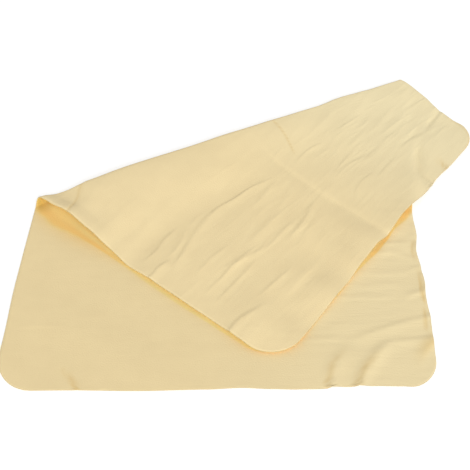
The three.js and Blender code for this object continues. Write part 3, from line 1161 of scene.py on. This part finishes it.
        lower = self._lower_relief(np.where(is_flap, plan[:, 0], u), np.where(is_flap, plan[:, 1], v))
        over_edge = soft_step(plan[:, 0] - sheet.width, 0.0, fold.drop_over_edge)
        rest = (sheet.thickness + lower) * (1.0 - over_edge) + fold.layer_gap + half
        settled = soft_step(past_roll / eased(fold.settle, u), 0.0, 1.0)
        height = half + radius + rise * radius * np.sin(turn)
        height = np.where(is_flap, mix(height, rest + fold.flap_loft, settled), height + lower)
        wrinkle = self._flap_relief(u, v) * soft_step(rise * distance, *self.crease_span)
        height_floor = np.where(past_roll > 0, rest, -np.inf)
        out = half * depth
        plan -= np.outer((out + wrinkle) * np.cos(turn), fold.inward)
        lifted = height + np.where(is_flap, wrinkle * np.sin(turn), 0.0)
        lifted = np.where(is_flap, np.maximum(lifted, height_floor), lifted)
        return np.column_stack([plan, lifted + rise * out * np.sin(turn)])


@dataclass(frozen=True)
class NodeBench:
    """Sets nodes into one tree and joins them up.

    Attributes:
        tree: The nodes of a material, a world or a group.
    """

    tree: bpy.types.NodeTree

    def feed(self, node: bpy.types.Node, inputs: dict[str | int, object]) -> None:
        """Link outputs of other nodes to a node's inputs, or set plain values there.

        Args:
            node: The node to feed.
            inputs: An output or a plain value for each input, by the input's name or number.
        """
        for name, value in inputs.items():
            if isinstance(value, bpy.types.NodeSocket):
                self.tree.links.new(value, node.inputs[name])
            else:
                node.inputs[name].default_value = value

    def add(self, kind: str, inputs: dict[str | int, object]) -> bpy.types.Node:
        """Set a node into the tree.

        Args:
            kind: The node's type.
            inputs: What its inputs get.

        Returns:
            The node.
        """
        node = self.tree.nodes.new(kind)
        self.feed(node, inputs)
        return node

    def join(self, operation: str, *values: bpy.types.NodeSocket | float) -> bpy.types.NodeSocket:
        """Join values by an operation.

        Args:
            operation: The operation of a math node.
            values: What it works on, in order.

        Returns:
            The output with the result.
        """
        node = self.add("ShaderNodeMath", dict(enumerate(values)))
        node.operation = operation
        return node.outputs["Value"]

    def ramp(self, value: bpy.types.NodeSocket, span: Point,
             falling: bool = False) -> bpy.types.NodeSocket:
        """Turn a value into a share that changes smoothly over a span.

        Args:
            value: The value.
            span: Where the change begins and ends.
            falling: Whether the share falls from 1 to 0, and doesn't rise from 0 to 1.

        Returns:
            The output with the share.
        """
        ends = (1.0, 0.0) if falling else (0.0, 1.0)
        node = self.add("ShaderNodeMapRange", {
            "Value": value, "From Min": span[0], "From Max": span[1],
            "To Min": ends[0], "To Max": ends[1],
        })
        node.interpolation_type = "SMOOTHSTEP"
        return node.outputs["Result"]

    def noise(self, places: bpy.types.NodeSocket, pitch: float, detail: float,
              distortion: float = 0.0) -> bpy.types.NodeSocket:
        """Make noise on the map of the cut sheet.

        Args:
            places: Places on the map.
            pitch: About how far apart the noise's features are, in millimetres.
            detail: How many finer steps it has.
            distortion: How far it wanders.

        Returns:
            The output with the noise, from 0 to 1.
        """
        return self.add("ShaderNodeTexNoise", {
            "Vector": places, "Scale": ClothMap.SPAN / pitch, "Detail": detail, "Distortion": distortion,
        }).outputs["Fac"]

    def carried(self, mask: ClothMask) -> bpy.types.NodeSocket:
        """Read what the cloth's points carry.

        Args:
            mask: What is read.

        Returns:
            The output with the values.
        """
        node = self.add("ShaderNodeAttribute", {})
        node.attribute_name = mask.value
        return node.outputs["Fac"]

    def blend(self, first: bpy.types.NodeSocket, second: bpy.types.NodeSocket,
              share: bpy.types.NodeSocket) -> bpy.types.NodeSocket:
        """Blend two colours.

        Args:
            first: The colour at share 0.
            second: The colour at share 1.
            share: The share.

        Returns:
            The output with the blended colour.
        """
        node = self.add("ShaderNodeMix", {})
        node.data_type = "RGBA"
        self.feed(node, {"Factor": share, "A": first, "B": second})
        return node.outputs["Result"]

    def seen_by_camera(self) -> bpy.types.NodeSocket:
        """Tell what the camera sees, straight, mirrored or through glass, from other light.

        Returns:
            An output that is 1 for rays that the camera sees, and 0 for others.
        """
        path = self.add("ShaderNodeLightPath", {})
        seen = self.join("ADD", path.outputs["Is Camera Ray"], path.outputs["Is Glossy Ray"])
        seen = self.join("ADD", seen, path.outputs["Is Transmission Ray"])
        seen.node.use_clamp = True
        return seen


@dataclass(frozen=True)
class ChamoisGrain:
    """The fibres, mottle and fine wrinkles of the cloth, where it is paler, and its painted shade and
    light in gaps, grooves and the fold's mouth.

    Attributes:
        mottle: Pitch of the mottle in millimetres, and its detail.
        mottle_span: Where in the mottle's noise the darker patches start and end to give way.
        fibre: Pitch of the fibres in millimetres, and their detail.
        fibre_height: Height of the fibres, of the bump's depth.
        wrinkle: Pitch of the fine wrinkles in millimetres, and their detail.
        wrinkle_turn: Their angle to the sheet's front edge, in degrees.
        wrinkle_stretch: Share of their fineness that is left along that edge.
        wrinkle_distortion: How far they wander.
        shelter_reach: How near other cloth has to be to occlude the cloth, in metres.
        shelter_samples: How many rays look for it.
        sheltered: Openness to the air, by ambient occlusion, below which the gap's painted shade and light
            show in full, and above which they don't.
        enclosed: The same for the painted shade in the mouth of the fold.
        near_gap: Where in the reach of the gap's painted shade that shade starts and ends to give way.
        glow_gap: Where in that reach the painted light of the gap's openings sets in.
    """

    mottle: Point = (14.0, 5.0)
    mottle_span: Point = (0.35, 0.65)
    fibre: Point = (1.1, 6.0)
    fibre_height: float = 0.26
    wrinkle: Point = (5.0, 3.0)
    wrinkle_turn: float = 4.0
    wrinkle_stretch: float = 0.2
    wrinkle_distortion: float = 0.6
    shelter_reach: float = 0.03
    shelter_samples: int = 12
    sheltered: Point = (0.95, 0.985)
    enclosed: Point = (0.72, 0.88)
    near_gap: Point = (0.5, 1.2)
    glow_gap: Point = (-0.5, 0.4)

    NAME = "chamois_fibres"
    COLOURS = ("Colour", "Shade", "Right Tint", "Gap Shade", "Gap Glow", "Groove Shade", "Mouth Shade")

    def group(self) -> bpy.types.NodeTree:
        """Return the node group, which is made once.

        Returns:
            A group that takes the cloth's colours and puts out one colour and the height of the bump.
        """
        if self.NAME in bpy.data.node_groups:
            return bpy.data.node_groups[self.NAME]
        tree = bpy.data.node_groups.new(self.NAME, "ShaderNodeTree")
        for socket in self.COLOURS:
            tree.interface.new_socket(socket, in_out="INPUT", socket_type="NodeSocketColor")
        tree.interface.new_socket("Colour", in_out="OUTPUT", socket_type="NodeSocketColor")
        tree.interface.new_socket("Height", in_out="OUTPUT", socket_type="NodeSocketFloat")
        bench = NodeBench(tree)
        given = bench.add("NodeGroupInput", {})
        sheet_map = bench.add("ShaderNodeUVMap", {})
        sheet_map.uv_map = ClothMap.NAME
        places = sheet_map.outputs["UV"]
        height = self._height(bench, places)
        bench.add("NodeGroupOutput", {"Colour": self._colour(bench, places, given), "Height": height})
        return tree

    def _height(self, bench: NodeBench, places: bpy.types.NodeSocket) -> bpy.types.NodeSocket:
        """Add up the fibres and the fine wrinkles.

        Args:
            bench: The group's nodes.
            places: Places on the map of the cut sheet.

        Returns:
            The output with the bump's height.
        """
        stretched = bench.add("ShaderNodeMapping", {
            "Vector": places,
            "Rotation": (0.0, 0.0, math.radians(self.wrinkle_turn)),
            "Scale": (self.wrinkle_stretch, 1.0, 1.0),
        }).outputs["Vector"]
        wrinkles = bench.noise(stretched, *self.wrinkle, self.wrinkle_distortion)
        wrinkles = bench.join("MULTIPLY", wrinkles, bench.carried(ClothMask.WORN))
        fibres = bench.join("MULTIPLY", bench.noise(places, *self.fibre), self.fibre_height)
        return bench.join("ADD", fibres, wrinkles)

    def _colour(self, bench: NodeBench, places: bpy.types.NodeSocket,
                given: bpy.types.Node) -> bpy.types.NodeSocket:
        """Lay the cloth's colours over each other.

        Args:
            bench: The group's nodes.
            places: Places on the map of the cut sheet.
            given: The node with the group's inputs.

        Returns:
            The output with the colour.
        """
        patches = bench.add("ShaderNodeMapRange", {
            "Value": bench.noise(places, *self.mottle),
            "From Min": self.mottle_span[0], "From Max": self.mottle_span[1],
        })
        # Ambient occlusion by the cloth itself: the painted shade and light of the gap and the mouth show
        # only where other cloth lies close
        open_air = bench.add("ShaderNodeAmbientOcclusion", {"Distance": self.shelter_reach})
        open_air.samples = self.shelter_samples
        open_air.only_local = True
        sheltered = bench.ramp(open_air.outputs["AO"], self.sheltered, falling=True)
        enclosed = bench.ramp(open_air.outputs["AO"], self.enclosed, falling=True)
        # Painted shade of the gap and painted light of its openings, by the distance outside the flap's
        # edge
        gap = bench.carried(ClothMask.GAP)
        near = bench.ramp(gap, self.near_gap, falling=True)
        gap_shade = bench.join("MULTIPLY", near, bench.carried(ClothMask.GAP_SHADE))
        lens = bench.join("MULTIPLY", near, bench.carried(ClothMask.GAP_GLOW))
        lens = bench.join("MAXIMUM", lens, bench.carried(ClothMask.TAIL))
        lens = bench.join("MULTIPLY", lens, bench.ramp(gap, self.glow_gap))
        shares = {
            "Colour": patches.outputs["Result"],
            "Right Tint": bench.carried(ClothMask.RIGHT_TINT),
            "Gap Shade": bench.join("MULTIPLY", gap_shade, sheltered),
            "Gap Glow": bench.join("MULTIPLY", lens, sheltered),
            "Groove Shade": bench.carried(ClothMask.GROOVE_SHADE),
            "Mouth Shade": bench.join("MULTIPLY", bench.carried(ClothMask.MOUTH_SHADE), enclosed),
        }
        colour = given.outputs["Shade"]
        for socket, share in shares.items():
            colour = bench.blend(colour, given.outputs[socket], share)
        return colour


@dataclass(frozen=True)
class ChamoisFinish:
    """Matte nonwoven chamois, with fine fibres and a faint mottle.

    Attributes:
        name: The material's name.
        colour: Linear colour of the cloth.
        shade: Linear colour of the mottle's darker patches.
        right_tint: Linear colour where the cloth is paler, towards the right.
        fibre_depth: Depth of the bump of fibres and fine wrinkles, in metres.
        gap_shade: Linear colour of painted shade and warm bounced light in the gap between the layers.
        lens: Linear colour of painted light, the bright orange of light bounced between the layers in the
            gap's openings.
        groove_shade: Linear colour of painted shade in grooves, creases and nicks.
        mouth: Linear colour of painted shade at the fold's left end, inside that mouth.
        roughness: The surface's roughness.
        specular: How much the surface reflects.
        sheen: Weight of the fibres' sheen.
        sheen_roughness: Roughness of that sheen.
        grain: The fibres and mottle.
    """

    name: str
    colour: Colour
    shade: Colour
    right_tint: Colour
    fibre_depth: float
    # Painted shade and warm bounced light of the gap between the layers
    gap_shade: Colour = (0.935, 0.765, 0.318)
    # Painted light: the bright orange of the gap's openings
    lens: Colour = (0.98, 0.645, 0.207)
    # Painted shade in grooves
    groove_shade: Colour = (0.77, 0.49, 0.125)
    # Painted shade inside the fold's mouth
    mouth: Colour = (0.68, 0.455, 0.105)
    roughness: float = 0.95
    specular: float = 0.15
    sheen: float = 0.1
    sheen_roughness: float = 0.6
    grain: ChamoisGrain = ChamoisGrain()

    def material(self) -> bpy.types.Material:
        """Make the material.

        Returns:
            The material, with its nodes.
        """
        made = bpy.data.materials.new(self.name)
        made.use_nodes = True
        bench = NodeBench(made.node_tree)
        colours = (self.colour, self.shade, self.right_tint, self.gap_shade, self.lens, self.groove_shade, self.mouth)
        fibres = bench.add("ShaderNodeGroup", {})
        fibres.node_tree = self.grain.group()
        bench.feed(fibres, {name: (*colour, 1.0) for name, colour in zip(self.grain.COLOURS, colours)})
        bump = bench.add("ShaderNodeBump", {
            "Distance": self.fibre_depth, "Height": fibres.outputs["Height"],
        })
        bench.feed(made.node_tree.nodes["Principled BSDF"], {
            "Base Color": fibres.outputs["Colour"],
            "Normal": bump.outputs["Normal"],
            "Roughness": self.roughness,
            "Specular IOR Level": self.specular,
            "Sheen Weight": self.sheen,
            "Sheen Roughness": self.sheen_roughness,
        })
        return made


@dataclass(frozen=True)
class PaleFloor:
    """The plain floor, white to the camera except where the cloth shades it.

    Attributes:
        side: Length of its sides, in metres.
        drop: How far it lies below the cloth's underside, in metres.
        colour: Its linear colour.
        lift: How much lighter it looks to the camera.
    """

    side: float = 8.0
    drop: float = 0.0003
    colour: Colour = (0.85, 0.85, 0.85)
    lift: float = 0.42

    def build(self) -> bpy.types.Object:
        """Make the floor.

        Returns:
            The floor.
        """
        half = self.side / 2.0
        mesh = bpy.data.meshes.new("floor")
        corners = [(-half, -half), (half, -half), (half, half), (-half, half)]
        mesh.from_pydata([(x, y, -self.drop) for x, y in corners], [], [(0, 1, 2, 3)])
        floor = bpy.data.objects.new("floor", mesh)
        bpy.context.scene.collection.objects.link(floor)
        mesh.materials.append(self._material())
        return floor

    def _material(self) -> bpy.types.Material:
        """Make a matte white that looks a little lighter to the camera.

        Returns:
            The material, with its nodes.
        """
        made = bpy.data.materials.new("pale_floor")
        made.use_nodes = True
        bench = NodeBench(made.node_tree)
        bench.feed(made.node_tree.nodes["Principled BSDF"], {
            "Base Color": (*self.colour, 1.0),
            "Roughness": 1.0,
            "Specular IOR Level": 0.0,
            "Emission Color": WHITE,
            "Emission Strength": bench.join("MULTIPLY", bench.seen_by_camera(), self.lift),
        })
        return made


@dataclass(frozen=True)
class StudioLight:
    """Even soft light all round, with a large soft lamp at the front.

    Attributes:
        sky_low: Strength of the surround at the height of the table.
        sky_high: Its strength straight above.
        front_share: How much brighter it is at the front than at the sides.
        lamp_place: Where the lamp hangs, in metres.
        lamp_side: Length of the lamp's sides, in metres.
        lamp_watts: Its power.
        bounces: How often light is passed on between pale surfaces.
    """

    sky_low: float = 1.12
    sky_high: float = 0.36
    front_share: float = 0.3
    lamp_place: tuple[float, float, float] = (1.5, -3.4, 2.7)
    lamp_side: float = 2.5
    lamp_watts: float = 83.5
    bounces: int = 16

    def build(self) -> bpy.types.Object:
        """Make the lamp and the surround.

        Returns:
            The lamp.
        """
        scene = bpy.context.scene
        data = bpy.data.lights.new("soft_lamp", "AREA")
        data.shape = "SQUARE"
        data.size = self.lamp_side
        data.energy = self.lamp_watts
        lamp = bpy.data.objects.new("soft_lamp", data)
        scene.collection.objects.link(lamp)
        lamp.location = self.lamp_place
        lamp.rotation_mode = "QUATERNION"
        lamp.rotation_quaternion = (-Vector(self.lamp_place)).to_track_quat("-Z", "Y")
        scene.world = self._world()
        scene.cycles.max_bounces = self.bounces
        scene.cycles.diffuse_bounces = self.bounces
        return lamp

    def _world(self) -> bpy.types.World:
        """Make a surround that is brighter low down, as in a light tent, and white to the camera.

        Returns:
            The world.
        """
        world = bpy.data.worlds.new("light_tent")
        world.use_nodes = True
        bench = NodeBench(world.node_tree)
        direction = bench.add("ShaderNodeTexCoord", {})
        parts = bench.add("ShaderNodeSeparateXYZ", {"Vector": direction.outputs["Generated"]})
        slope = bench.add("ShaderNodeMapRange", {
            "Value": parts.outputs["Z"], "To Min": self.sky_low, "To Max": self.sky_high,
        })
        front = bench.join("MULTIPLY_ADD", parts.outputs["Y"], -self.front_share, 1.0)
        level = bench.join("MULTIPLY", slope.outputs["Result"], front)
        strength = bench.add("ShaderNodeMix", {"Factor": bench.seen_by_camera(), "A": level, "B": 1.0})
        bench.feed(world.node_tree.nodes["Background"], {
            "Color": WHITE, "Strength": strength.outputs["Result"],
        })
        return world


@dataclass(frozen=True)
class PhotoCamera:
    """The camera, where the photograph was taken from.

    Attributes:
        target: Where it looks, in millimetres from the cloth's front left corner.
        azimuth: Degrees round from the front, to the right.
        elevation: Degrees above the table.
        distance: Millimetres to the target.
        focal_pixels: Focal length in pixels of the photograph.
    """

    target: Point = (170.5, 142.7)
    azimuth: float = 0.8
    elevation: float = 51.44
    distance: float = 693.9
    focal_pixels: float = 844.0

    def build(self, corner: Vector) -> bpy.types.Object:
        """Make the camera and let the scene look through it.

        Args:
            corner: The cut sheet's front left corner in the frame, in metres.

        Returns:
            The camera.
        """
        turn, rise = math.radians(self.azimuth), math.radians(self.elevation)
        back = Vector((math.sin(turn) * math.cos(rise), -math.cos(turn) * math.cos(rise), math.sin(rise)))
        data = bpy.data.cameras.new("photo_camera")
        data.sensor_width = SENSOR_WIDTH
        data.lens = self.focal_pixels * SENSOR_WIDTH / PHOTO_SIDE
        camera = bpy.data.objects.new("photo_camera", data)
        bpy.context.scene.collection.objects.link(camera)
        camera.location = corner + Vector((*self.target, 0.0)) * MM + back * self.distance * MM
        camera.location.z = back.z * self.distance * MM
        camera.rotation_mode = "QUATERNION"
        camera.rotation_quaternion = (-back).to_track_quat("-Z", "Y")
        bpy.context.scene.camera = camera
        return camera


# The inner face, which shows on the lower layer, is a little darker than the outer face, which shows on
# the flap
INNER_FINISH = ChamoisFinish(
    "chamois_inner_face", colour=(0.949, 0.764, 0.424), shade=(0.931, 0.747, 0.413),
    right_tint=(0.962, 0.807, 0.480), fibre_depth=0.0007,
)
OUTER_FINISH = ChamoisFinish(
    "chamois_outer_face", colour=(0.988, 0.800, 0.452), shade=(0.969, 0.781, 0.440),
    right_tint=(0.990, 0.849, 0.522), fibre_depth=0.0007,
)
# The cut edge's darker colour is partly the cut fibres' own and partly painted shade, the dark line along
# the sheet's edges
CUT_FINISH = ChamoisFinish(
    "chamois_cut_edge", colour=(0.77, 0.62, 0.335), shade=(0.75, 0.60, 0.32), right_tint=(0.77, 0.64, 0.37),
    fibre_depth=0.001,
)


def main() -> None:
    """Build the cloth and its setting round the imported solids."""
    logging.basicConfig(level=logging.INFO, format="%(name)s: %(message)s")
    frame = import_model()
    sheet = CutSheet()
    low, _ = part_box("lower_layer")
    front_draw = SOLIDS_FRONT_DRAW * sheet.corner_radius / sheet.width
    corner = Vector((low.x, low.y - front_draw * MM, 0.0))
    LOG.info("front left corner of the sheet at %s", tuple(round(x, 5) for x in corner))

    cloth = FoldedCloth(corner, sheet).build((INNER_FINISH, OUTER_FINISH, CUT_FINISH))
    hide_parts(*sorted(frame["nodes"]))
    LOG.info("%s: %d points, %d faces", cloth.name, len(cloth.data.vertices), len(cloth.data.polygons))

    for setting in (PaleFloor().build(), StudioLight().build(), PhotoCamera().build(corner)):
        LOG.info("%s in place", setting.name)
    bpy.context.scene.view_settings.view_transform = "Standard"


if __name__ == "__main__":
    main()
